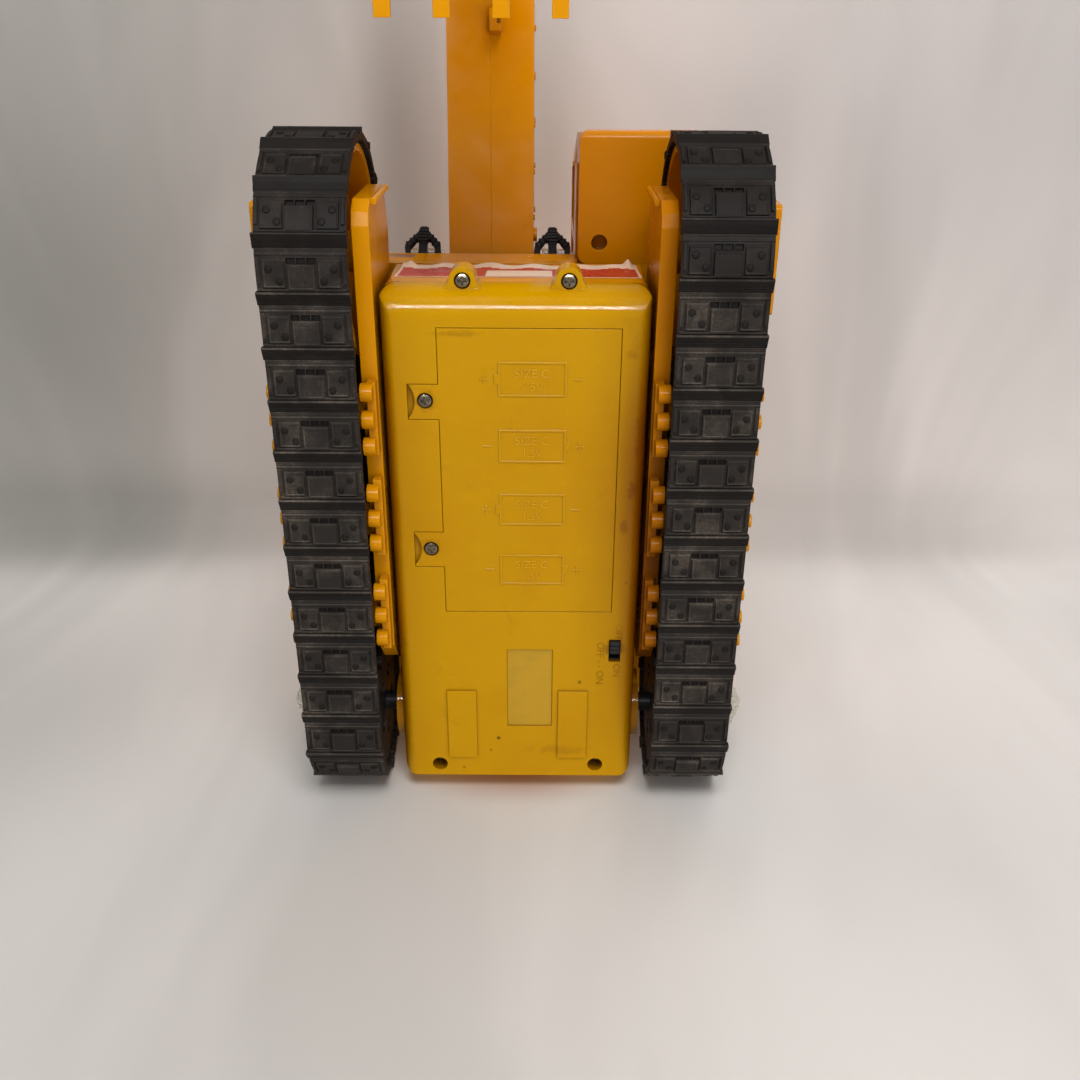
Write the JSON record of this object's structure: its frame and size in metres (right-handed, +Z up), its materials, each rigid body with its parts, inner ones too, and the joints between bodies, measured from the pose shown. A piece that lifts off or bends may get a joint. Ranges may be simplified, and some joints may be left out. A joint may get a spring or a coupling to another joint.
{
  "type": "toy tracked excavator",
  "caption": "Battery-driven toy excavator on two rubber tracks, with slewing house and cab, hinged boom, stick with cylinder, and toothed bucket.",
  "frame": {"origin": "middle of the box the whole toy fills, on the ground", "axes": "+Z up, -Y forward along the boom, +X to the toy's left"},
  "size_m": [0.21, 0.4524, 0.2025],
  "materials": {
    "yellow_plastic": "glossy, lightly scuffed",
    "black_plastic": "satin",
    "track_rubber": "matte, dusty",
    "steel": "plated",
    "cell_jacket": "printed jacket, plain",
    "motor_metal": "plated can",
    "brass": "bright",
    "grey_plastic": "natural acetal",
    "clear_plastic": "clear"
  },
  "bodies": {
    "chassis": {"chassis_tub": "yellow_plastic", "chassis_top": "yellow_plastic", "battery_door": "yellow_plastic", "chassis_screws": "steel", "battery_box": "black_plastic", "battery_cells": "cell_jacket", "cell_contacts": "brass", "switch_body": "black_plastic", "motor_can": "motor_metal", "gearbox_plates": "grey_plastic", "gearbox_spacers": "steel", "track_frame_left": "yellow_plastic", "track_frame_right": "yellow_plastic", "side_panel_left": "yellow_plastic", "side_panel_right": "yellow_plastic", "track_left": "track_rubber", "track_right": "track_rubber", "idler_axles": "steel"},
    "switch": {"switch_knob": "black_plastic"},
    "drive": {"drive_axle": "steel", "sprocket_left": "black_plastic", "sprocket_right": "black_plastic", "drive_hubs": "clear_plastic", "final_gear": "grey_plastic"},
    "counter": {"counter_shaft": "steel", "compound_gear": "grey_plastic"},
    "motor_rotor": {"motor_shaft": "steel", "motor_pinion": "brass"},
    "idler_left": {"idler_wheel_left": "yellow_plastic", "idler_hub_left": "yellow_plastic"},
    "idler_right": {"idler_wheel_right": "yellow_plastic", "idler_hub_right": "yellow_plastic"},
    "house": {"deck_base": "yellow_plastic", "deck_shell": "yellow_plastic", "tool_locker": "yellow_plastic", "engine_hood": "yellow_plastic", "counterweight": "yellow_plastic", "cab_floor": "yellow_plastic", "cab_shell": "yellow_plastic", "cab_windows": "clear_plastic", "cab_seat": "black_plastic", "cab_levers": "black_plastic", "lamp_guards": "black_plastic", "lamp_lenses": "clear_plastic", "exhaust_stack": "black_plastic", "handrails": "black_plastic", "slew_washer": "steel", "slew_screw": "steel", "boom_pin": "steel"},
    "boom": {"boom_left": "yellow_plastic", "boom_right": "yellow_plastic", "boom_screws": "steel", "stick_pin": "steel"},
    "stick": {"stick": "yellow_plastic"},
    "bucket": {"bucket": "yellow_plastic", "bucket_pin": "steel"},
    "cylinder_barrel_body": {"cylinder_barrel": "black_plastic"},
    "cylinder_rod_body": {"cylinder_rod": "steel"}
  },
  "joints": [
    {"name": "switch_slide", "type": "slide", "parent": "chassis", "child": "switch", "axis": [0, 1, 0], "range_m": [0, 0.004]},
    {"name": "drive_spin", "type": "hinge", "parent": "chassis", "child": "drive", "pos_m": [0, 0.19025, 0.036], "axis": [1, 0, 0], "continuous": true},
    {"name": "counter_spin", "type": "hinge", "parent": "chassis", "child": "counter", "pos_m": [0.031, 0.17359, 0.04878], "axis": [1, 0, 0], "continuous": true},
    {"name": "motor_spin", "type": "hinge", "parent": "chassis", "child": "motor_rotor", "pos_m": [0.02, 0.15374, 0.04635], "axis": [1, 0, 0], "continuous": true},
    {"name": "idler_left_spin", "type": "hinge", "parent": "chassis", "child": "idler_left", "pos_m": [0.07725, -0.01725, 0.047], "axis": [1, 0, 0], "continuous": true},
    {"name": "idler_right_spin", "type": "hinge", "parent": "chassis", "child": "idler_right", "pos_m": [-0.07725, -0.01725, 0.047], "axis": [1, 0, 0], "continuous": true},
    {"name": "slew", "type": "hinge", "parent": "chassis", "child": "house", "pos_m": [0, 0.09575, 0.098], "axis": [0, 0, 1], "continuous": true},
    {"name": "boom_lift", "type": "hinge", "parent": "house", "child": "boom", "pos_m": [-0.0138, 0.02575, 0.1406], "axis": [-1, 0, 0], "range_deg": [-3, 45]},
    {"name": "stick_swing", "type": "hinge", "parent": "boom", "child": "stick", "pos_m": [-0.0138, -0.20425, 0.144], "axis": [-1, 0, 0], "range_deg": [-5, 55]},
    {"name": "bucket_dump", "type": "hinge", "parent": "stick", "child": "bucket", "pos_m": [-0.0138, -0.16632, 0.05799], "axis": [-1, 0, 0], "range_deg": [-20, 50]},
    {"name": "cylinder_tilt", "type": "hinge", "parent": "boom", "child": "cylinder_barrel_body", "pos_m": [-0.0138, -0.11425, 0.197], "axis": [-1, 0, 0], "range_deg": [-0.5, 2]},
    {"name": "cylinder_stroke", "type": "slide", "parent": "cylinder_barrel_body", "child": "cylinder_rod_body", "axis": [0, -0.9344, -0.3562], "range_m": [-0.019, 0.0025]}
  ],
  "couplings": [
    {"joint": "counter_spin", "follows": "drive_spin", "ratio": -3.2},
    {"joint": "motor_spin", "follows": "drive_spin", "ratio": 9.6},
    {"joint": "idler_left_spin", "follows": "drive_spin", "ratio": 0.7349},
    {"joint": "idler_right_spin", "follows": "drive_spin", "ratio": 0.7349},
    {"joint": "cylinder_tilt", "follows": "stick_swing", "ratio": 0.0272},
    {"joint": "cylinder_stroke", "follows": "stick_swing", "m_per_rad": -0.01921}
  ]
}
